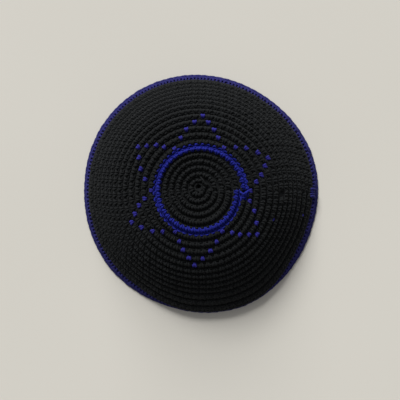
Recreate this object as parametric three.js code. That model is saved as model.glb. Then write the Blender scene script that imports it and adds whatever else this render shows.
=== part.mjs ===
import * as THREE from "three";

// A crocheted kippah skullcap: a shallow black dome worked round and round from the middle of the crown outwards,
// with one blue round near the top and a blue edging along the rim. Millimetres, +Z up, the foot of the rim on
// z = 0 and the crown above it, with the hollow for the head open below. Seen from above, +Y is the far side.

// The dome
const rimRadius = 75.3; // the cloth's outer face at the rim, before the outline's waves
const crownHeight = 34; // from the surface to the top of the outer face
const rimLift = 1.1; // the outer face ends this far above the surface, where the edging turns under
const wall = 2.8; // the crocheted cloth, from the outer face to the inner

// The rounds, as lengths along the outer face
const startingLoop = 2.3; // radius of the closed loop that the first round is worked into
const centerRounds = 5;
const centerPitch = 3.85;
const ringPitch = 3.85; // the one blue round
const bodyRounds = 13;
const edgingLength = 5;

// Relief and fit
const ribHeight = 0.7; // each round stands this far out of the groove beside it
const ringLift = 0.35; // the blue round stands this much prouder than the black ones
const loopDimple = 0.9; // the starting loop lies this far down
const edgingThickness = 3.5;
const pieceGap = 0.3; // between neighbouring pieces
const insideStep = 9; // longest straight stretch of the inner face's section

// Faces round the cap
const centerSides = 48;
const ringSides = 60;
const bodySides = 72;
const edgingPoints = 12;
const edgingSquareness = 3; // 2 would be an ellipse, and more is nearer to a rectangle

// The outer face's section from the top of the crown to the rim: distance from the axis as a share of rimRadius,
// and height above rimLift as a share of the crown's.
const domeSection = [
  { radius: 0, height: 1 },
  { radius: 0.17, height: 0.993 },
  { radius: 0.34, height: 0.963 },
  { radius: 0.51, height: 0.877 },
  { radius: 0.67, height: 0.7 },
  { radius: 0.8, height: 0.46 },
  { radius: 0.92, height: 0.185 },
  { radius: 1, height: 0 },
];

// One round's rib across its width: the place as a share of the pitch, and the lift as a share of ribHeight.
const ribSection = [
  { place: 0.04, lift: 0 },
  { place: 0.34, lift: 1 },
  { place: 0.74, lift: 0.85 },
];

// The soft rim isn't a true circle. Each wave pushes it out by a share of the radius at so many places, the first
// of them at the given angle, counterclockwise from +X.
const outlineWaves = [
  { lobes: 2, share: 0.0148, firstDegrees: 115.5 },
  { lobes: 3, share: 0.0058, firstDegrees: 22.5 },
  { lobes: 4, share: 0.007, firstDegrees: 25 },
  { lobes: 5, share: 0.0039, firstDegrees: 5.8 },
];

const black = { color: 0x17181a, roughness: 0.95, metalness: 0 };
const blue = { color: 0x2426a0, roughness: 0.85, metalness: 0 };

const meridian = new THREE.SplineCurve(
  domeSection.map(
    (row) => new THREE.Vector2(row.radius * rimRadius, rimLift + row.height * (crownHeight - rimLift)),
  ),
);
meridian.arcLengthDivisions = 800;

const ringStart = startingLoop + centerRounds * centerPitch;
const bodyStart = ringStart + ringPitch;
const edgingStart = meridian.getLength() - edgingLength;
const bodyPitch = (edgingStart - bodyStart) / bodyRounds;

// The point, the way outwards along the cloth and the way out of it, at a length along the outer face.
function clothFrame(length) {
  const share = length / meridian.getLength();
  const along = meridian.getTangentAt(share);
  return { point: meridian.getPointAt(share), along, out: new THREE.Vector2(-along.y, along.x) };
}

function clothPoint(length, lift) {
  const { point, out } = clothFrame(length);
  point.addScaledVector(out, lift);
  if (length === 0) point.x = 0;
  return point;
}

// The ribbed outer face of a run of rounds, from start, each one pitch wide.
function ribbedFace(start, rounds, pitch, extraLift) {
  const points = [];
  for (let round = 0; round < rounds; round += 1) {
    for (const rib of ribSection) {
      const lift = (rib.lift - 0.5) * ribHeight + extraLift;
      points.push(clothPoint(start + (round + rib.place) * pitch, lift));
    }
  }
  return points;
}

// The plain inner face, from the end back to the start.
function innerFace(start, end) {
  const steps = Math.max(1, Math.ceil((end - start) / insideStep));
  const points = [];
  for (let step = 0; step <= steps; step += 1) {
    points.push(clothPoint(end + ((start - end) * step) / steps, -wall));
  }
  return points;
}

// A closed band of cloth between two lengths along the outer face, with half a gap left at each cut end.
function bandSection(start, rounds, pitch, extraLift) {
  const first = start + pieceGap / 2;
  const last = start + rounds * pitch - pieceGap / 2;
  const fit = (last - first) / rounds;
  const outside = ribbedFace(first, rounds, fit, extraLift);
  outside.push(clothPoint(last, extraLift - 0.5 * ribHeight));
  return [...outside, ...innerFace(first, last)];
}

// The crown's middle: the dimple of the starting loop, then the first rounds. It begins and ends on the axis.
function centerSection() {
  const last = ringStart - pieceGap / 2;
  const fit = (last - startingLoop) / centerRounds;
  const outside = ribbedFace(startingLoop, centerRounds, fit, 0);
  outside.push(clothPoint(last, -0.5 * ribHeight));
  return [clothPoint(0, -loopDimple), ...outside, ...innerFace(0, last)];
}

// The edging is a roll of yarn round the end of the cloth. What would reach below the surface is flattened on it.
function edgingSection() {
  const half = (edgingLength - pieceGap / 2) / 2;
  const { point, along, out } = clothFrame(edgingStart + pieceGap / 2 + half);
  const power = 2 / edgingSquareness;
  const points = [];
  for (let step = 0; step < edgingPoints; step += 1) {
    const turn = ((step + 0.5) / edgingPoints) * 2 * Math.PI;
    const c = Math.cos(turn);
    const s = Math.sin(turn);
    const corner = point
      .clone()
      .addScaledVector(along, -half * Math.sign(c) * Math.abs(c) ** power)
      .addScaledVector(out, (edgingThickness / 2) * Math.sign(s) * Math.abs(s) ** power - wall / 2);
    corner.y = Math.max(corner.y, 0);
    points.push(corner);
  }
  return points;
}

// Pushes each vertex out or in by the waves, which fade towards the crown's middle.
function waveOutline(geometry) {
  const position = geometry.getAttribute("position");
  for (let i = 0; i < position.count; i += 1) {
    const x = position.getX(i);
    const y = position.getY(i);
    const angle = Math.atan2(y, x);
    const fade = (Math.hypot(x, y) / rimRadius) ** 2;
    let scale = 1;
    for (const wave of outlineWaves) {
      const first = THREE.MathUtils.degToRad(wave.firstDegrees);
      scale += fade * wave.share * Math.cos(wave.lobes * (angle - first));
    }
    position.setXY(i, x * scale, y * scale);
  }
}

// Turns a section round the upright axis into one closed piece of the cap.
function turnedPiece(name, section, sides, finish) {
  const geometry = new THREE.LatheGeometry([...section].reverse(), sides);
  geometry.rotateX(Math.PI / 2);
  waveOutline(geometry);
  geometry.computeVertexNormals();
  const mesh = new THREE.Mesh(geometry, new THREE.MeshStandardMaterial(finish));
  mesh.name = name;
  return mesh;
}

const closed = (section) => [...section, section[0].clone()];

const kippah = new THREE.Group();
kippah.add(turnedPiece("crown_center", centerSection(), centerSides, black));
kippah.add(turnedPiece("ring_band", closed(bandSection(ringStart, 1, ringPitch, ringLift)), ringSides, blue));
kippah.add(turnedPiece("crown_body", closed(bandSection(bodyStart, bodyRounds, bodyPitch, 0)), bodySides, black));
kippah.add(turnedPiece("rim_edging", closed(edgingSection()), bodySides, blue));

export default kippah;
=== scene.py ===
import math
from collections import namedtuple

import bpy
import numpy as np
from mathutils import Matrix, Vector


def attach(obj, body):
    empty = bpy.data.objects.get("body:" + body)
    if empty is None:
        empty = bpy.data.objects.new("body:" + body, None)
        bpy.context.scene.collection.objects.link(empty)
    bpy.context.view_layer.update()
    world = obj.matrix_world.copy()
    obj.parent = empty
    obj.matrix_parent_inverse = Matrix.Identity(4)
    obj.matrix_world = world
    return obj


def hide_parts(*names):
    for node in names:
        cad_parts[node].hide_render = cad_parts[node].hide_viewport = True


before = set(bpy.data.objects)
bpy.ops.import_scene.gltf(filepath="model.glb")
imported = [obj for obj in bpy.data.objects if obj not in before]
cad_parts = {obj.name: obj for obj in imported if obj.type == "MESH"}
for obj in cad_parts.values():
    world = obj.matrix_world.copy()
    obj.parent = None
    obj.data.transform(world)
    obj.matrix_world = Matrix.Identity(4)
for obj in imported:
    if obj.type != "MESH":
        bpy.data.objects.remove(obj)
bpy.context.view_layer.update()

# A crocheted skullcap: flat stitches of plied yarn, laid one by one along a spiral on the dome, in metres

MM = 0.001
FULL_TURN = 2 * math.pi
SEED = 18

# The dome, as its construction has it
RIM_RADIUS = 75.3 * MM
CROWN_HEIGHT = 34 * MM
RIM_LIFT = 1.1 * MM
STARTING_LOOP = 2.3 * MM
CENTER_PITCH = 3.85 * MM
RING_PITCH = 3.85 * MM
RING_LIFT = 0.35 * MM
EDGING_LENGTH = 5 * MM

# The outer face's section: distance from the axis and height over the rim, as shares of the dome's
DomeRow = namedtuple("DomeRow", "radius height")
DOME_SECTION = (
    DomeRow(0, 1),
    DomeRow(0.17, 0.993),
    DomeRow(0.34, 0.963),
    DomeRow(0.51, 0.877),
    DomeRow(0.67, 0.7),
    DomeRow(0.8, 0.46),
    DomeRow(0.92, 0.185),
    DomeRow(1, 0),
)
SECTION_STEPS = 80  # from each row to the next

# Waves of the soft outline: how many, their share of the radius, and the first one's degrees from +X
Wave = namedtuple("Wave", "lobes share first")
OUTLINE_WAVES = (
    Wave(2, 0.0148, 115.5),
    Wave(3, 0.0058, 22.5),
    Wave(4, 0.007, 25),
    Wave(5, 0.0039, 5.8),
)

# The rounds from the middle out: how many stitches each has, and its share of the spiral's full rise
Round = namedtuple("Round", "stitches rise")
CENTER_ROUNDS = (Round(7, 0.5), Round(14, 0.8), Round(21, 1), Round(28, 1), Round(35, 1))
RING_ROUND = Round(42, 1)
BODY_ROUNDS = (
    Round(48, 1),
    Round(54, 1),
    Round(54, 1),
    Round(60, 1),
    Round(66, 1),
    Round(70, 1),
    Round(74, 1),
    Round(78, 1),
    Round(82, 1),
    Round(86, 1),
    Round(90, 0.75),
    Round(93, 0.5),
    Round(96, 0.25),
)
EDGING_ROUND = Round(99, 0)

# The cloth is worked clockwise in a spiral from the seam, and each round's stitches lean a little clockwise
SEAM_TURN = math.radians(-1.5)
ROUND_LEAN = math.radians(1.15)
SPIRAL_EVEN = 0.5  # this share of the rise goes evenly round, and the rest is near the seam

# The star's chart: the first tip's turn, and how far from a tip's line each body round's blue stitches lie
STAR_TIPS = 6
STAR_TURN = math.radians(25.2)
STAR_REACH = (4, 3, 2, 1, 0)

# Hand work isn't even: how far out the rounds lie, and their middle off the axis, by length, in mm
Uneven = namedtuple("Uneven", "length outward east north")
UNEVEN_ROUNDS = (
    Uneven(0, 0, 0.5, 1.5),
    Uneven(5, 0, 0, 0.1),
    Uneven(17, 0, 0.2, -0.2),
    Uneven(24, 0.8, 0.7, -1.25),
    Uneven(34, 0.8, 0.3, -1.1),
    Uneven(48, 0.8, 0.2, -1.2),
    Uneven(57, -0.1, 0, -0.5),
    Uneven(66, -1.1, 0, 0),
    Uneven(80, -1.6, 0, 0),
    Uneven(86, 0, 0, 0),
)

# How far the star's tips are pulled counterclockwise, by their turn from +X, both in degrees
Pull = namedtuple("Pull", "turn shift")
TIP_PULLS = (
    Pull(-35, -1.9),
    Pull(25, 0.5),
    Pull(85, 1.7),
    Pull(145, -1.7),
    Pull(205, -0.5),
    Pull(265, 1.6),
    Pull(325, -1.9),
    Pull(385, 0.5),
)
PULL_FROM = 28 * MM
PULL_FULL = 36 * MM

# On the near side the cloth bulges over the rim, which is tucked in: how far out it lies, by length, in mm
Bulge = namedtuple("Bulge", "length outward")
NEAR_BULGE = (
    Bulge(50, 0),
    Bulge(66, 1.2),
    Bulge(76, 3.1),
    Bulge(80, 3.0),
    Bulge(83, 1.3),
    Bulge(86, -0.7),
)
BULGE_TURN = math.radians(281)
BULGE_SPREAD = math.radians(50)
BULGE_FULLNESS = 1.4  # over 1, so that a stretch in the middle bulges fully

# Flat stitches, before they are copied round the dome
STITCH_WIDTH = 4.1 * MM
ROUND_PITCH = 4.3 * MM
EDGING_WIDTH = 4.7 * MM

# The yarn's section: every other corner is the top of a ply, and those between are drawn in to PLY_DEPTH
YARN_RADIUS = 0.74 * MM
PLIES = 3
YARN_SIDES = 2 * PLIES
PLY_DEPTH = 0.8
PLY_TURN = math.radians(40)
PLY_ATTRIBUTE = "plies"
LEAST_SEGMENTS = 4

# The rounds near the rim are worked tighter: how much of its relief a stitch keeps, by length in mm
Relief = namedtuple("Relief", "length share")
STITCH_RELIEF = (
    Relief(0, 1),
    Relief(38, 1),
    Relief(48, 0.85),
    Relief(58, 0.62),
    Relief(68, 0.48),
    Relief(80, 0.42),
)
CORE_LIFT = -1.3 * MM  # a flat stitch's relief is what stands over this
BLUE_HEADS_RAISED = 0.6 * MM  # the blue round's own loops, in the first black round after it

# How much stitches differ: their lean, slip and swell as shares of their width, and their lift in mm
STITCH_SPREAD = (0.09, 0.03, 0.05)
RAISED_SPREAD = 0.07

# The plain cloth inside the stitches
BAND_LIFT = -1.95 * MM
BAND_THICKNESS = 0.3 * MM
BAND_RIDGE = 0.12 * MM
BAND_HOLE = 1.0 * MM
BAND_SHORTER = 1.2 * MM
BAND_SIDES = 144
MERGE_DISTANCE = 0.01 * MM


# The cloth's own coordinates: length along the outer face from the axis, turn from +X, and lift out of it


def dome_line():
    """Close points along the outer face's section: their lengths, distances from the axis and heights."""
    crown = CROWN_HEIGHT - RIM_LIFT
    rows = np.array([(row.radius * RIM_RADIUS, RIM_LIFT + row.height * crown) for row in DOME_SECTION])
    padded = np.vstack([rows[:1], rows, rows[-1:]])
    points = []
    for before, start, end, after in zip(padded, padded[1:], padded[2:], padded[3:]):
        leave = (end - before) / 2
        arrive = (after - start) / 2
        for share in np.arange(0, 1, 1 / SECTION_STEPS):
            cubic = (2 * start - 2 * end + leave + arrive) * share**3
            square = (3 * end - 3 * start - 2 * leave - arrive) * share**2
            points.append(cubic + square + leave * share + start)
    points = np.array(points + [rows[-1]])
    steps = np.hypot(*np.diff(points, axis=0).T)
    return np.concatenate([[0], np.cumsum(steps)]), points[:, 0], points[:, 1]


LENGTHS, RADII, HEIGHTS = dome_line()
SLOPE_OUT = -np.gradient(HEIGHTS, LENGTHS)
SLOPE_ALONG = np.gradient(RADII, LENGTHS)
LEAST_LENGTH = 0.25 * MM  # nothing lies nearer to the axis
CLOTH_LENGTH = LENGTHS[-1]
RING_START = STARTING_LOOP + len(CENTER_ROUNDS) * CENTER_PITCH
BODY_START = RING_START + RING_PITCH
EDGING_START = CLOTH_LENGTH - EDGING_LENGTH
BODY_PITCH = (EDGING_START - BODY_START) / len(BODY_ROUNDS)
FIRST_BODY_ROUND = len(CENTER_ROUNDS) + 1
STAR_ROUND = FIRST_BODY_ROUND + len(STAR_REACH) - 1

UNEVEN_LENGTH, UNEVEN_OUTWARD, UNEVEN_EAST, UNEVEN_NORTH = (np.array(UNEVEN_ROUNDS) * MM).T
PULL_TURN, PULL_SHIFT = np.radians(TIP_PULLS).T
BULGE_LENGTH, BULGE_OUTWARD = (np.array(NEAR_BULGE) * MM).T
RELIEF_LENGTH, RELIEF_SHARE = (np.array(STITCH_RELIEF) * (MM, 1)).T


def near_side(turn):
    """1 in the middle of the near side, 0 away from it."""
    away = np.abs((turn - BULGE_TURN + math.pi) % FULL_TURN - math.pi)
    share = np.clip(BULGE_FULLNESS * (1 - away / BULGE_SPREAD), 0, 1)
    return share * share * (3 - 2 * share)


def on_cloth(length, turn, lift):
    """Points in the model's frame for arrays of lengths along the cloth, turns and lifts out of it."""
    # The star's tips are pulled aside, and the rounds lie a little out of place
    pulled = np.clip((length - PULL_FROM) / (PULL_FULL - PULL_FROM), 0, 1)
    turn = turn + pulled * np.interp(turn % FULL_TURN, PULL_TURN, PULL_SHIFT)
    outward = length + np.interp(length, UNEVEN_LENGTH, UNEVEN_OUTWARD)
    x = outward * np.cos(turn) + np.interp(length, UNEVEN_LENGTH, UNEVEN_EAST)
    y = outward * np.sin(turn) + np.interp(length, UNEVEN_LENGTH, UNEVEN_NORTH)
    turn = np.arctan2(y, x)
    length = np.hypot(x, y)

    # The dome's section, with the bulge of the near side, and straight on past the rim
    past_rim = np.maximum(length - CLOTH_LENGTH, 0)
    length = np.maximum(length, LEAST_LENGTH)
    out_radius = np.interp(length, LENGTHS, SLOPE_OUT)
    out_height = np.interp(length, LENGTHS, SLOPE_ALONG)
    bulge = near_side(turn) * np.interp(length, BULGE_LENGTH, BULGE_OUTWARD)
    radius = np.interp(length, LENGTHS, RADII) + lift * out_radius + past_rim * out_height + bulge
    height = np.interp(length, LENGTHS, HEIGHTS) + lift * out_height - past_rim * out_radius

    # The outline's waves, which fade towards the middle
    fade = (radius / RIM_RADIUS) ** 2
    scale = 1
    for wave in OUTLINE_WAVES:
        scale = scale + fade * wave.share * np.cos(wave.lobes * (turn - math.radians(wave.first)))
    x = radius * scale * np.cos(turn)
    y = radius * scale * np.sin(turn)
    return np.stack([x, y, np.maximum(height, 0)], axis=-1)


# Small helpers for modelling


def deselect_all():
    if bpy.context.object and bpy.context.object.mode != "OBJECT":
        bpy.ops.object.mode_set(mode="OBJECT")
    bpy.ops.object.select_all(action="DESELECT")


def pick(*pieces):
    """Selects these pieces alone, the first as the active one."""
    deselect_all()
    for piece in pieces:
        piece.select_set(True)
    bpy.context.view_layer.objects.active = pieces[0]


def joined(pieces):
    """These pieces as one."""
    pick(*pieces)
    if len(pieces) > 1:
        bpy.ops.object.join()
    return bpy.context.object


def apply_modifier(piece, kind, **settings):
    """Adds a modifier to a piece, sets it and applies it."""
    pick(piece)
    modifier = piece.modifiers.new(kind.lower(), kind)
    for key, value in settings.items():
        setattr(modifier, key, value)
    bpy.ops.object.modifier_apply(modifier=modifier.name)


def corners_of(mesh):
    return np.array([corner.co for corner in mesh.vertices])


def order_faces(mesh):
    """Sorts a mesh's faces by their corners, because extrude leaves them in another order each run."""
    corners = corners_of(mesh)
    faces = sorted(tuple(face.vertices) for face in mesh.polygons)
    mesh.clear_geometry()
    mesh.from_pydata(corners, [], faces)


# A strand of plied yarn: a straight length with its plies twisted, then bent along a path


def set_plies(mesh, plies):
    """Keeps on a mesh where its corners lie in their strand: across the plies, and along it."""
    attribute = mesh.attributes.new(PLY_ATTRIBUTE, "FLOAT_VECTOR", "POINT")
    attribute.data.foreach_set("vector", np.asarray(plies, dtype=np.float32).ravel())


def plies_of(mesh):
    plies = np.empty(3 * len(mesh.vertices), dtype=np.float32)
    mesh.attributes[PLY_ATTRIBUTE].data.foreach_get("vector", plies)
    return plies.reshape(-1, 3)


def straight_yarn(segments):
    """A straight, twisted length of yarn along +Z, with segments as long as its radius."""
    deselect_all()
    bpy.ops.mesh.primitive_circle_add(vertices=YARN_SIDES, radius=YARN_RADIUS, fill_type="NGON")
    yarn = bpy.context.object
    for corner in yarn.data.vertices:
        if corner.index % 2:
            corner.co *= PLY_DEPTH
    bpy.ops.object.mode_set(mode="EDIT")
    bpy.ops.mesh.select_all(action="SELECT")
    for segment in range(segments):
        bpy.ops.mesh.extrude_region_move(TRANSFORM_OT_translate={"value": (0, 0, YARN_RADIUS)})
        end = (0, 0, (segment + 1) * YARN_RADIUS)
        bpy.ops.transform.rotate(value=PLY_TURN, orient_axis="Z", center_override=end)
    bpy.ops.mesh.select_all(action="SELECT")
    bpy.ops.mesh.normals_make_consistent(inside=False)
    bpy.ops.object.mode_set(mode="OBJECT")
    order_faces(yarn.data)
    x, y, z = corners_of(yarn.data).T
    turn = np.arctan2(-x, y) + PLY_TURN * np.round(z / YARN_RADIUS)
    set_plies(yarn.data, np.stack([np.cos(turn), np.sin(turn), z / YARN_RADIUS], axis=-1))
    return yarn


def yarn_through(points, thicks, segments):
    """One strand of yarn along a smooth path by these points, so many times as thick at each."""
    yarn = straight_yarn(segments)
    deselect_all()
    bpy.ops.curve.primitive_nurbs_path_add()
    path = bpy.context.object
    spline = path.data.splines[0]
    spline.points.add(max(0, len(points) - len(spline.points)))
    for corner, place, thick in zip(spline.points, points, thicks):
        corner.co = (*place, 1)
        corner.radius = thick
    spline.order_u = 4
    spline.resolution_u = 12
    spline.use_endpoint_u = True
    path.data.use_stretch = True
    path.data.use_deform_bounds = True
    apply_modifier(yarn, "CURVE", object=path, deform_axis="POS_Z")
    bpy.data.objects.remove(path)
    return yarn


# Flat stitches, made of strands: shares of a stitch's width and pitch, lift in mm, share of the thickness

PathPoint = namedtuple("PathPoint", "across along lift thick")
Strand = namedtuple("Strand", "segments route")
Pattern = namedtuple("Pattern", "points faces plies width pitch")


def pattern_of(strands, width=STITCH_WIDTH, pitch=ROUND_PITCH):
    """A flat stitch as its corner points, its faces and its corners' places in the plies."""
    yarns = []
    for strand in strands:
        points = [(point.across * width, point.along * pitch, point.lift * MM) for point in strand.route]
        yarns.append(yarn_through(points, [point.thick for point in strand.route], strand.segments))
    flat = joined(yarns)
    faces = [tuple(face.vertices) for face in flat.data.polygons]
    pattern = Pattern(corners_of(flat.data), faces, plies_of(flat.data), width, pitch)
    bpy.data.objects.remove(flat)
    return pattern


def mirrored(route, lean):
    """The same route on the stitch's other side, leaning a little along the round."""
    return [point._replace(across=lean - point.across) for point in route]


# The black stitch: two legs in front, and a ground of its core, its bar inside and the back of its head
RIGHT_LEG = [
    PathPoint(0.10, 0.06, -2.5, 0.75),
    PathPoint(0.11, 0.16, -1.8, 0.85),
    PathPoint(0.13, 0.30, -0.8, 1.0),
    PathPoint(0.18, 0.47, -0.1, 1.2),
    PathPoint(0.25, 0.62, -0.45, 1.15),
    PathPoint(0.26, 0.69, -1.4, 1.0),
    PathPoint(0.20, 0.71, -2.4, 0.8),
]
CORE = [
    PathPoint(-0.6, 0.5, -1.35, 1.2),
    PathPoint(-0.3, 0.5, -1.35, 1.2),
    PathPoint(0.0, 0.5, -1.35, 1.2),
    PathPoint(0.3, 0.5, -1.35, 1.2),
    PathPoint(0.6, 0.5, -1.35, 1.2),
]
INSIDE_BAR = [
    PathPoint(-0.50, 0.18, -1.9, 0.85),
    PathPoint(-0.30, 0.30, -2.45, 0.95),
    PathPoint(0.0, 0.40, -2.6, 1.0),
    PathPoint(0.30, 0.30, -2.45, 0.95),
    PathPoint(0.50, 0.18, -1.9, 0.85),
]
HEAD_BACK = [
    PathPoint(-0.62, 0.92, -2.0, 0.9),
    PathPoint(-0.3, 0.86, -2.35, 1.0),
    PathPoint(0.0, 0.84, -2.5, 1.0),
    PathPoint(0.3, 0.86, -2.35, 1.0),
    PathPoint(0.62, 0.92, -2.0, 0.9),
]
LEG_LEAN = -0.02
LEGS = [Strand(8, RIGHT_LEG), Strand(8, mirrored(RIGHT_LEG, LEG_LEAN))]
GROUND = [Strand(4, CORE), Strand(5, INSIDE_BAR), Strand(5, HEAD_BACK)]

# The blue ring's legs are shorter and thinner, which leaves a deeper groove on both sides of them
RING_LEG_MIDDLE = 0.42
RING_LEG_LENGTH = 0.8
RING_LEG_THICKNESS = 0.93
RING_LEG = [
    point._replace(
        along=RING_LEG_MIDDLE + RING_LEG_LENGTH * (point.along - RING_LEG_MIDDLE),
        thick=RING_LEG_THICKNESS * point.thick,
    )
    for point in RIGHT_LEG
]
RING_LEGS = [Strand(8, RING_LEG), Strand(8, mirrored(RING_LEG, LEG_LEAN))]

# The loop of the round before, which rises between this stitch's foot and the next one's
HEAD_LOOP = [
    PathPoint(0.02, 0.14, -2.5, 0.8),
    PathPoint(0.22, 0.17, -2.0, 0.9),
    PathPoint(0.5, 0.20, -1.1, 0.95),
    PathPoint(0.78, 0.17, -2.0, 0.9),
    PathPoint(0.98, 0.14, -2.5, 0.8),
]

# The last black round's heads, which close the cloth up to the edging
LAST_HEADS = [point._replace(along=-0.11, lift=-1.05, thick=1.3) for point in CORE]

# A blue stitch of the star: a round knot, because the black legs on both sides draw it in
STAR_LEG = [
    PathPoint(0.07, 0.27, -2.6, 0.75),
    PathPoint(0.08, 0.29, -1.6, 0.9),
    PathPoint(0.11, 0.36, -0.5, 1.05),
    PathPoint(0.14, 0.50, 0.0, 1.2),
    PathPoint(0.16, 0.63, -0.5, 1.1),
    PathPoint(0.15, 0.69, -1.5, 0.95),
    PathPoint(0.11, 0.71, -2.5, 0.75),
]
STAR_BAR = [
    PathPoint(-0.40, 0.24, -2.45, 0.85),
    PathPoint(-0.24, 0.33, -2.6, 0.95),
    PathPoint(0.0, 0.40, -2.65, 1.0),
    PathPoint(0.24, 0.33, -2.6, 0.95),
    PathPoint(0.40, 0.24, -2.45, 0.85),
]
STAR_STRANDS = [Strand(8, STAR_LEG), Strand(8, mirrored(STAR_LEG, LEG_LEAN)), Strand(5, STAR_BAR)]
STAR_GROUND = [Strand(4, CORE), Strand(5, HEAD_BACK)]

# The edging's stitch: a chain link lying along the rim, two legs, a core, and a foot and a bar inside
LINK_TOP = [
    PathPoint(-0.56, 0.48, -1.5, 0.85),
    PathPoint(-0.28, 0.48, -0.7, 1.0),
    PathPoint(0.0, 0.48, -0.35, 1.15),
    PathPoint(0.28, 0.48, -0.7, 1.0),
    PathPoint(0.56, 0.48, -1.5, 0.85),
]
LINK_SIDE = [
    PathPoint(-0.08, 0.77, -1.25, 0.9),
    PathPoint(0.22, 0.79, -0.9, 1.0),
    PathPoint(0.5, 0.80, -0.85, 1.1),
    PathPoint(0.78, 0.79, -0.9, 1.0),
    PathPoint(1.08, 0.77, -1.25, 0.9),
]
EDGING_LEG = [
    PathPoint(0.20, 0.04, -2.3, 0.85),
    PathPoint(0.21, 0.09, -1.3, 1.0),
    PathPoint(0.24, 0.21, -0.65, 1.15),
    PathPoint(0.27, 0.38, -0.65, 1.15),
    PathPoint(0.28, 0.52, -1.6, 0.9),
]
EDGING_CORE = [point._replace(along=0.62, lift=-1.7, thick=1.4) for point in CORE]
EDGING_FOOT = [
    PathPoint(-0.62, 0.84, -2.6, 0.9),
    PathPoint(-0.3, 0.86, -2.9, 1.0),
    PathPoint(0.0, 0.86, -3.0, 1.05),
    PathPoint(0.3, 0.86, -2.9, 1.0),
    PathPoint(0.62, 0.84, -2.6, 0.9),
]
EDGING_BAR = [
    PathPoint(-0.62, 0.36, -2.2, 0.9),
    PathPoint(-0.3, 0.41, -2.65, 1.0),
    PathPoint(0.0, 0.44, -2.8, 1.05),
    PathPoint(0.3, 0.41, -2.65, 1.0),
    PathPoint(0.62, 0.36, -2.2, 0.9),
]
EDGING_STRANDS = [
    Strand(8, LINK_TOP),
    Strand(8, LINK_SIDE),
    Strand(6, EDGING_LEG),
    Strand(6, mirrored(EDGING_LEG, 0)),
    Strand(4, EDGING_CORE),
    Strand(5, EDGING_FOOT),
    Strand(5, EDGING_BAR),
]

# Single lengths of yarn laid one by one: mm along the cloth, turn, lift in mm, share of the thickness
ClothPoint = namedtuple("ClothPoint", "length degrees lift thick")
LOOP_FIRST = ClothPoint(2.4, 90, -1.3, 0.9)
LOOP_POINTS = 11
LOOP_STEP = 40
LOOP_END_LIFT = -2.2
WEAVE_FIRST = ClothPoint(27.2, 2, -0.2, 1.0)
WEAVE_POINTS = 13
WEAVE_STEP = 1.9
WEAVE_DEPTH = 2.0


def starting_loop_route():
    """Once round the starting hole and a little on, with both ends sunk into the cloth."""
    turns = [LOOP_FIRST.degrees + LOOP_STEP * step for step in range(LOOP_POINTS)]
    route = [LOOP_FIRST._replace(degrees=degrees) for degrees in turns]
    for end in (0, -1):
        route[end] = route[end]._replace(lift=LOOP_END_LIFT)
    return route


def weaving_route():
    """In and out of the cloth along the blue round, where its yarn is joined."""
    route = []
    for step in range(WEAVE_POINTS):
        degrees = WEAVE_FIRST.degrees + WEAVE_STEP * step
        lift = WEAVE_FIRST.lift - WEAVE_DEPTH * (step % 2)
        route.append(WEAVE_FIRST._replace(degrees=degrees, lift=lift))
    return route


def edging_tie(degrees, lift):
    """A strand across the edging, where its round closes."""
    return [
        ClothPoint(83.4, degrees, lift - 1.9, 1.0),
        ClothPoint(82.2, degrees, lift - 0.3, 1.3),
        ClothPoint(80.8, degrees, lift, 1.4),
        ClothPoint(79.6, degrees, lift - 0.4, 1.3),
        ClothPoint(78.8, degrees, lift - 2.0, 1.0),
    ]


STARTING_YARN = [
    starting_loop_route(),
    [
        ClothPoint(7.6, 84, -2.0, 0.7),
        ClothPoint(6.6, 76, -0.2, 0.8),
        ClothPoint(5.4, 52, 0.5, 0.85),
        ClothPoint(4.8, 24, 0.1, 0.8),
        ClothPoint(4.6, 8, -1.6, 0.7),
    ],
]
RING_JOIN = [
    [
        ClothPoint(23.4, -1, -1.8, 0.9),
        ClothPoint(24.0, -4, -0.3, 1.0),
        ClothPoint(25.6, -5, 0.3, 1.1),
        ClothPoint(26.6, -2, 0.4, 1.1),
        ClothPoint(28.2, 0, 0.1, 1.0),
        ClothPoint(29.0, 1, -1.8, 0.8),
    ],
    weaving_route(),
]
EDGING_JOIN = [edging_tie(-1.9, 0), edging_tie(-0.7, -0.45), edging_tie(0.5, -0.45), edging_tie(1.7, 0)]
BLUE_PEEKS = [
    [
        ClothPoint(48.4, -17.6, -2.2, 0.7),
        ClothPoint(48.6, -18.6, -1.2, 0.8),
        ClothPoint(48.6, -19.5, -0.8, 0.9),
        ClothPoint(48.6, -20.4, -1.2, 0.8),
        ClothPoint(48.4, -21.4, -2.2, 0.7),
    ],
    [
        ClothPoint(74.4, -11.0, -2.2, 0.7),
        ClothPoint(74.6, -11.7, -1.2, 0.8),
        ClothPoint(74.6, -12.3, -0.8, 0.9),
        ClothPoint(74.6, -12.9, -1.2, 0.8),
        ClothPoint(74.4, -13.6, -2.2, 0.7),
    ],
]

# Laying stitches: each place is a stitch on the cloth, by its round's start, pitch and size and its turn

Place = namedtuple("Place", "start pitch stitches rise turn lift")
chance = np.random.default_rng(SEED)


def places_of(row, start, pitch, round_number, lift=0.0):
    """The places of a round's stitches. Number 0 lies on the line of the star's first tip."""
    first = STAR_TURN - ROUND_LEAN * (round_number - STAR_ROUND)
    turns = [first + number * FULL_TURN / row.stitches for number in range(row.stitches)]
    return [Place(start, pitch, row.stitches, row.rise, turn, lift) for turn in turns]


def spiral(phase):
    """How far out of its even place the spiral lies at a phase, in rounds, from -0.5 to 0.5."""
    middle = phase - 0.5
    return SPIRAL_EVEN * middle + 4 * (1 - SPIRAL_EVEN) * middle**3


def phase_of(place):
    """How far round from the seam a place lies, clockwise, from 0 to 1."""
    return ((SEAM_TURN - place.turn) / FULL_TURN) % 1


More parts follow.
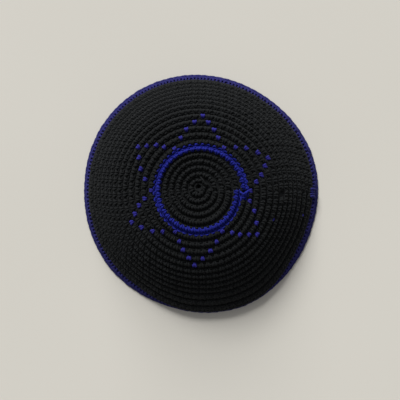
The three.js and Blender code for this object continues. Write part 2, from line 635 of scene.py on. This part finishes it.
def lay(name, *layers):
    """One mesh of flat stitches copied to every place, each a little unlike the next, as hand work is."""
    corners = []
    faces = []
    plies = []
    count = 0
    for pattern, places in layers:
        across = pattern.points[:, 0] / pattern.width
        along = pattern.points[:, 1] / pattern.pitch
        lift = pattern.points[:, 2]
        for place in places:
            lean, slip, swell = chance.normal(0, STITCH_SPREAD)
            raised = chance.normal(0, RAISED_SPREAD) * MM
            here = across * (1 + swell) + lean * (along - 0.5) + slip
            phase = phase_of(place) + here / place.stitches
            turn = SEAM_TURN - FULL_TURN * phase
            length = place.start + place.pitch * (along + place.rise * spiral(phase))
            relief = np.interp(length, RELIEF_LENGTH, RELIEF_SHARE)
            proud = np.maximum(lift - CORE_LIFT, 0) * (relief - 1)
            corners.append(on_cloth(length, turn, lift + proud + place.lift + raised))
            faces.extend(tuple(corner + count for corner in face) for face in pattern.faces)
            plies.append(pattern.plies)
            count += len(lift)
    mesh = bpy.data.meshes.new(name)
    mesh.from_pydata(np.concatenate(corners), [], faces)
    set_plies(mesh, np.concatenate(plies))
    piece = bpy.data.objects.new(name, mesh)
    bpy.context.collection.objects.link(piece)
    pick(piece)
    bpy.ops.object.shade_smooth()
    return piece


def laid_yarn(name, routes):
    """Lengths of yarn along routes over the cloth."""
    yarns = []
    for route in routes:
        length, degrees, lift, thick = np.array(route).T
        points = on_cloth(length * MM, np.radians(degrees), lift * MM)
        steps = np.linalg.norm(np.diff(points, axis=0), axis=1).sum() / YARN_RADIUS
        yarns.append(yarn_through(points, thick, max(LEAST_SEGMENTS, round(steps))))
    piece = joined(yarns)
    piece.name = name
    bpy.ops.object.transform_apply(location=True, rotation=True, scale=True)
    bpy.ops.object.shade_smooth()
    return piece


def band(name, start, end, rounds, round_steps):
    """A closed shell of plain cloth inside the stitches, with a low ridge for each round."""
    deselect_all()
    bpy.ops.mesh.primitive_grid_add(x_subdivisions=BAND_SIDES, y_subdivisions=rounds * round_steps, size=1)
    piece = bpy.context.object
    piece.name = name
    across, along = corners_of(piece.data)[:, :2].T + 0.5  # from 0 to 1 over the grid
    ridge = BAND_RIDGE * -np.cos(FULL_TURN * along * rounds)
    placed = on_cloth(start + along * (end - start), -FULL_TURN * across, BAND_LIFT + ridge)
    piece.data.vertices.foreach_set("co", placed.ravel())
    bpy.ops.object.mode_set(mode="EDIT")
    bpy.ops.mesh.select_all(action="SELECT")
    bpy.ops.mesh.remove_doubles(threshold=MERGE_DISTANCE)
    bpy.ops.mesh.normals_make_consistent(inside=False)
    bpy.ops.object.mode_set(mode="OBJECT")
    apply_modifier(piece, "SOLIDIFY", thickness=BAND_THICKNESS, offset=-1)
    bpy.ops.object.shade_smooth()
    return piece


# Materials: shader maths as expressions

# A Mix node's sockets by number, because those of its other kinds have the same names
MIX_FACTOR, MIX_FIRST, MIX_SECOND, MIX_RESULT = 0, 6, 7, 2


class Shade:
    """A value or colour in a material, so that maths on it adds its nodes."""

    def __init__(self, finish, socket):
        self.finish = finish
        self.socket = socket

    def __add__(self, other):
        return self.finish.maths("ADD", self, other)

    def __sub__(self, other):
        return self.finish.maths("SUBTRACT", self, other)

    def __rsub__(self, other):
        return self.finish.maths("SUBTRACT", other, self)

    def __mul__(self, other):
        return self.finish.maths("MULTIPLY", self, other)

    __radd__ = __add__
    __rmul__ = __mul__


class Finish:
    """A material and the nodes that make it."""

    def __init__(self, name):
        self.material = bpy.data.materials.new(name)
        self.material.use_nodes = True
        self.tree = self.material.node_tree
        self.shader = self.tree.nodes["Principled BSDF"]
        self.place = self.node("ShaderNodeTexCoord", output="Object")

    def node(self, kind, inputs=None, output=0, **settings):
        """A node with its settings, then the values or links of its inputs, as a shade of one output."""
        made = self.tree.nodes.new(kind)
        for key, value in settings.items():
            setattr(made, key, value)
        for key, value in (inputs or {}).items():
            self.feed(made.inputs[key], value)
        return Shade(self, made.outputs[output])

    def feed(self, socket, value):
        if isinstance(value, Shade):
            self.tree.links.new(value.socket, socket)
        else:
            socket.default_value = value

    def maths(self, operation, first, second=0.0):
        return self.node("ShaderNodeMath", {0: first, 1: second}, operation=operation)

    def noise(self, size, detail=2.0, roughness=0.5, vector=None):
        """Soft noise whose features are about this long, in metres or in the vector's own units."""
        place = vector or self.place
        inputs = {"Vector": place, "Scale": 1 / size, "Detail": detail, "Roughness": roughness}
        return self.node("ShaderNodeTexNoise", inputs, output="Fac")

    def scaled(self, vector, factors, added=(0, 0, 0)):
        """A vector times factors for its three parts, plus another."""
        inputs = {0: vector, 1: factors, 2: added}
        return self.node("ShaderNodeVectorMath", inputs, operation="MULTIPLY_ADD")

    def parts(self, vector):
        """The three parts of a vector."""
        split = self.node("ShaderNodeSeparateXYZ", {"Vector": vector}).socket.node
        return [Shade(self, part) for part in split.outputs]

    def between(self, amount, first, second):
        """A colour between two others."""
        inputs = {MIX_FACTOR: amount, MIX_FIRST: (*first, 1), MIX_SECOND: (*second, 1)}
        return self.node("ShaderNodeMix", inputs, output=MIX_RESULT, data_type="RGBA")

    def set(self, **values):
        for key, value in values.items():
            self.feed(self.shader.inputs[key.replace("_", " ")], value)


# Cotton: how it takes the light, and its fibres
COTTON_ROUGHNESS = 0.75
FIBRE_ROUGHNESS = 0.2
COTTON_SPECULAR = 0.1
COTTON_SHEEN = 0.03
SHEEN_ROUGHNESS = 0.45
FIBRE_SPREAD = (7, 7, 0.45)  # how closely the fibres lie across a strand, and along it
FIBRE_CHANGE = 300  # how fast they change from one stitch to the next, in 1 / m

# What each pattern adds to the yarn's tone, from 0, dark, to 1, light. TONE_LESS brings their middle to 0.5
FIBRE_TONE = 0.6
# The ridges' share is painted shade: darker in the grooves between the plies and lighter on their tops
PAINTED_PLY_SHADE = 0.22
DYE_TONE = 0.35
WEAR_TONE = 0.35
TONE_LESS = 0.28
DYE_SIZE = 5 * MM
WEAR_SIZE = 38 * MM

# What stands out on the yarn, and on the cloth between the stitches
YARN_BUMP = 0.22 * MM
RIDGE_BUMP = 0.7
FIBRE_BUMP = 0.6
CLOTH_BUMP = 0.18 * MM
CLOTH_BUMP_STRENGTH = 0.55
CLOTH_FIBRE = 0.22 * MM

# The dyes, each from its darkest tone to its lightest
Dye = namedtuple("Dye", "dark light")
BLACK = Dye((0.0045, 0.0052, 0.0060), (0.0160, 0.0178, 0.0202))
ROYAL_BLUE = Dye((0.005, 0.007, 0.078), (0.020, 0.028, 0.37))
VIOLET_BLUE = Dye((0.010, 0.009, 0.08), (0.036, 0.032, 0.34))
NAVY = Dye((0.007, 0.007, 0.046), (0.028, 0.027, 0.19))


def yarn_patterns(finish):
    """The yarn's ridges, 1 on top of a ply and 0 between two, and its fibres, which run along the plies."""
    strand = finish.node("ShaderNodeAttribute", output="Vector", attribute_name=PLY_ATTRIBUTE)
    across, aside = finish.parts(strand)[:2]
    wave = finish.maths("COSINE", finish.maths("ARCTAN2", aside, across) * (PLIES / 2))
    change = finish.scaled(finish.place, (FIBRE_CHANGE,) * 3)
    fibres = finish.noise(1, detail=3, roughness=0.6, vector=finish.scaled(strand, FIBRE_SPREAD, change))
    return finish.maths("ABSOLUTE", wave), fibres


def set_cotton(finish, dye, tone, fibres, bump):
    """Gives a finish cotton's matte look, with a soft sheen."""
    finish.set(
        Base_Color=finish.between(tone, dye.dark, dye.light),
        Roughness=fibres * FIBRE_ROUGHNESS + COTTON_ROUGHNESS,
        Normal=bump,
        Specular_IOR_Level=COTTON_SPECULAR,
        Sheen_Weight=COTTON_SHEEN,
        Sheen_Roughness=SHEEN_ROUGHNESS,
    )


def yarn_finish(name, dye):
    """Cotton yarn: plies, with painted shade in the grooves between them, fine fibres, and a little change
    of colour between stitches and over the cap.
    """
    finish = Finish(name)
    ridges, fibres = yarn_patterns(finish)
    dyed = finish.noise(DYE_SIZE, detail=1)
    worn = finish.noise(WEAR_SIZE, detail=2)
    # The ridges' term is painted shade in the grooves between the plies
    tone = fibres * FIBRE_TONE + ridges * PAINTED_PLY_SHADE + dyed * DYE_TONE + worn * WEAR_TONE - TONE_LESS
    inputs = {"Distance": YARN_BUMP, "Height": ridges * RIDGE_BUMP + fibres * FIBRE_BUMP}
    set_cotton(finish, dye, tone, fibres, finish.node("ShaderNodeBump", inputs))
    return finish.material


def cloth_finish(name, dye):
    """Cotton seen between the stitches, with no strand of its own to follow."""
    finish = Finish(name)
    fibres = finish.noise(CLOTH_FIBRE, detail=4, roughness=0.65)
    inputs = {"Strength": CLOTH_BUMP_STRENGTH, "Distance": CLOTH_BUMP, "Height": fibres}
    set_cotton(finish, dye, fibres, fibres, finish.node("ShaderNodeBump", inputs))
    return finish.material


# Each look with the record's slot that it belongs to
Look = namedtuple("Look", "material slot")
BLACK_YARN = Look(yarn_finish("black_yarn", BLACK), "black_yarn")
BLUE_YARN = Look(yarn_finish("royal_blue_yarn", ROYAL_BLUE), "blue_yarn")
STAR_YARN = Look(yarn_finish("violet_blue_yarn", VIOLET_BLUE), "blue_yarn")
EDGING_YARN = Look(yarn_finish("navy_edging_yarn", NAVY), "blue_yarn")
BLACK_CLOTH = Look(cloth_finish("black_cloth", BLACK), "black_yarn")
NAVY_CLOTH = Look(cloth_finish("navy_cloth", NAVY), "blue_yarn")


def finished(piece, look, node):
    """Gives a piece its look's material, hides the CAD node that it stands for, and lets it ride."""
    piece.data.materials.clear()
    piece.data.materials.append(look.material)
    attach(piece, "root")
    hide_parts(node)


# The cap

BODY_STITCH = pattern_of(LEGS + GROUND)
RING_STITCH = pattern_of(RING_LEGS + GROUND)
STAR_GROUND_STITCH = pattern_of(STAR_GROUND)
LOOP_STITCH = pattern_of([Strand(6, HEAD_LOOP)])
HEADS_STITCH = pattern_of([Strand(4, LAST_HEADS)], EDGING_WIDTH, EDGING_LENGTH)
STAR_STITCH = pattern_of(STAR_STRANDS)
EDGING_STITCH = pattern_of(EDGING_STRANDS, EDGING_WIDTH, EDGING_LENGTH)

# The body's stitches are kept in pieces of moderate size, each a run of rounds
BodyPart = namedtuple("BodyPart", "name first last")
BODY_PARTS = (
    BodyPart("body_stitches_upper", 0, 5),
    BodyPart("body_stitches_middle", 5, 9),
    BodyPart("body_stitches_lower", 9, len(BODY_ROUNDS)),
)


def center_places():
    places = []
    for number, row in enumerate(CENTER_ROUNDS):
        places += places_of(row, STARTING_LOOP + number * CENTER_PITCH, CENTER_PITCH, number)
    return places


def ring_places():
    return places_of(RING_ROUND, RING_START, RING_PITCH, len(CENTER_ROUNDS), RING_LIFT)


def body_places():
    """The places of each body round."""
    rounds = []
    for number, row in enumerate(BODY_ROUNDS):
        start = BODY_START + number * BODY_PITCH
        rounds.append(places_of(row, start, BODY_PITCH, FIRST_BODY_ROUND + number))
    return rounds


def edging_places():
    return places_of(EDGING_ROUND, EDGING_START, EDGING_LENGTH, FIRST_BODY_ROUND + len(BODY_ROUNDS))


def joining_place(first_round):
    """The first body round's first place, where the blue round runs on for one more stitch."""
    return min(first_round, key=phase_of)


def make_center():
    """The black rounds inside the ring. The first has no round before it, and so no loops of one."""
    places = center_places()
    loops = places[CENTER_ROUNDS[0].stitches:] + ring_places()
    piece = lay("center_stitches", (BODY_STITCH, places), (LOOP_STITCH, loops))
    finished(piece, BLACK_YARN, "crown_center")
    finished(laid_yarn("starting_loop", STARTING_YARN), BLACK_YARN, "crown_center")


def make_ring():
    """The blue round, with its own loops in the first body round."""
    first_round = body_places()[0]
    places = ring_places() + [joining_place(first_round)]
    loops = [place._replace(lift=BLUE_HEADS_RAISED) for place in first_round]
    piece = lay("ring_stitches", (RING_STITCH, places), (LOOP_STITCH, loops))
    finished(piece, BLUE_YARN, "ring_band")
    finished(laid_yarn("ring_join", RING_JOIN), BLUE_YARN, "ring_band")


def star_numbers(row, reach):
    """The numbers of a round's blue stitches, so many stitches either side of each tip's line."""
    lines = [tip * row.stitches // STAR_TIPS for tip in range(STAR_TIPS)]
    return {(line + side * reach) % row.stitches for line in lines for side in (-1, 1)}


def make_body():
    """The black dome in three pieces, and the blue stitches of the star between them."""
    rounds = body_places()
    joining = joining_place(rounds[0])
    plain = []
    charted = []
    for number, (row, places) in enumerate(zip(BODY_ROUNDS, rounds)):
        blue = star_numbers(row, STAR_REACH[number]) if number < len(STAR_REACH) else set()
        plain.append([place for n, place in enumerate(places) if n not in blue and place != joining])
        charted += [places[n] for n in sorted(blue)]
    for part in BODY_PARTS:
        places = sum(plain[part.first:part.last], [])
        loops = sum(rounds[max(part.first, 1):part.last], [])
        piece = lay(part.name, (BODY_STITCH, places), (LOOP_STITCH, loops))
        finished(piece, BLACK_YARN, "crown_body")
    finished(lay("star_ground", (STAR_GROUND_STITCH, charted)), BLACK_YARN, "crown_body")
    finished(lay("star_stitches", (STAR_STITCH, charted)), STAR_YARN, "crown_body")
    finished(laid_yarn("blue_peeks", BLUE_PEEKS), STAR_YARN, "crown_body")
    finished(lay("last_heads", (HEADS_STITCH, edging_places())), BLACK_YARN, "crown_body")


def make_edging():
    finished(lay("edging_stitches", (EDGING_STITCH, edging_places())), EDGING_YARN, "rim_edging")
    finished(laid_yarn("edging_join", EDGING_JOIN), EDGING_YARN, "rim_edging")


def make_inner_cloth():
    """The bands inside the stitches: the yarn that is carried along in the fabric, which closes it."""
    center = band("center_inner", BAND_HOLE, RING_START, len(CENTER_ROUNDS), round_steps=5)
    finished(center, BLACK_CLOTH, "crown_center")
    ring = band("ring_inner", RING_START, BODY_START, 1, round_steps=6)
    finished(ring, BLACK_CLOTH, "ring_band")
    body = band("body_inner", BODY_START, EDGING_START, len(BODY_ROUNDS), round_steps=5)
    finished(body, BLACK_CLOTH, "crown_body")
    edging = band("edging_inner", EDGING_START, CLOTH_LENGTH - BAND_SHORTER, 1, round_steps=6)
    finished(edging, NAVY_CLOTH, "rim_edging")


# The surface, the light and the camera

FLOOR_SIZE = 8  # metres
FLOOR_GRAIN = 0.9 * MM
FLOOR_CLOUD = 160 * MM
FLOOR_GRAIN_SHARE = 0.3
FLOOR_DARK = (0.66, 0.645, 0.60)
FLOOR_LIGHT = (0.70, 0.685, 0.645)

# Broad daylight: each light's turn about the cap and height over the surface, in degrees, and its strength
Window = namedtuple("Window", "name turn height strength")
WINDOWS = (Window("window_high", 113, 36, 2.9), Window("window_low", 97, 18, 1.5))
WINDOW_WIDTH = math.radians(24)
WINDOW_COLOUR = (1.0, 0.985, 0.95)
ROOM_COLOUR = (1.0, 0.985, 0.96, 1)
ROOM_STRENGTH = 0.26

# The photograph: its width on the surface, and the pixel where the origin lies
PHOTO_PIXELS = 400
PHOTO_WIDTH = 251.2 * MM
CAP_PIXEL = (199.85, 192.4)
CAMERA_DISTANCE = 450 * MM
CAMERA_ELEVATION = math.radians(86.3)
CAMERA_AZIMUTH = math.radians(29)
SENSOR = 36.0  # the camera's, in mm


def floor_finish():
    finish = Finish("pale_surface")
    grain = finish.noise(FLOOR_GRAIN, detail=3)
    cloud = finish.noise(FLOOR_CLOUD, detail=1)
    tone = grain * FLOOR_GRAIN_SHARE + cloud * (1 - FLOOR_GRAIN_SHARE)
    finish.set(
        Base_Color=finish.between(tone, FLOOR_DARK, FLOOR_LIGHT),
        Roughness=0.7,
        Specular_IOR_Level=0.2,
    )
    return finish.material


def make_floor():
    deselect_all()
    bpy.ops.mesh.primitive_plane_add(size=FLOOR_SIZE, location=(0, 0, 0))
    floor = bpy.context.object
    floor.name = "surface"
    floor.data.materials.append(floor_finish())


def make_window(window):
    turn = math.radians(window.turn)
    height = math.radians(window.height)
    level = math.cos(height)
    place = Vector((level * math.cos(turn), level * math.sin(turn), math.sin(height)))
    bpy.ops.object.light_add(type="SUN", location=place)
    light = bpy.context.object
    light.name = window.name
    light.data.energy = window.strength
    light.data.angle = WINDOW_WIDTH
    light.data.color = WINDOW_COLOUR
    light.rotation_euler = (-place).to_track_quat("-Z", "Y").to_euler()


def make_light():
    world = bpy.data.worlds.new("soft_room")
    bpy.context.scene.world = world
    world.use_nodes = True
    background = world.node_tree.nodes["Background"]
    background.inputs["Color"].default_value = ROOM_COLOUR
    background.inputs["Strength"].default_value = ROOM_STRENGTH
    for window in WINDOWS:
        make_window(window)
    bpy.context.scene.view_settings.view_transform = "Standard"


def make_camera():
    """The photograph's view: nearly straight down, with the far side of the cap up in the picture."""
    level = math.cos(CAMERA_ELEVATION)
    back = Vector(
        (
            math.sin(CAMERA_AZIMUTH) * level,
            -math.cos(CAMERA_AZIMUTH) * level,
            math.sin(CAMERA_ELEVATION),
        )
    )
    right = Vector((0, 1, 0)).cross(back).normalized()
    up = back.cross(right)
    pixel = PHOTO_WIDTH / PHOTO_PIXELS
    middle = PHOTO_PIXELS / 2
    aim = right * (middle - CAP_PIXEL[0]) * pixel - up * (middle - CAP_PIXEL[1]) * pixel
    bpy.ops.object.camera_add()
    camera = bpy.context.object
    turned = Matrix((right, up, back)).transposed().to_4x4()
    camera.matrix_world = Matrix.Translation(aim + back * CAMERA_DISTANCE) @ turned
    camera.data.sensor_width = SENSOR
    camera.data.lens = SENSOR * CAMERA_DISTANCE / PHOTO_WIDTH
    bpy.context.scene.camera = camera


make_center()
make_ring()
make_body()
make_edging()
make_inner_cloth()
make_floor()
make_light()
make_camera()
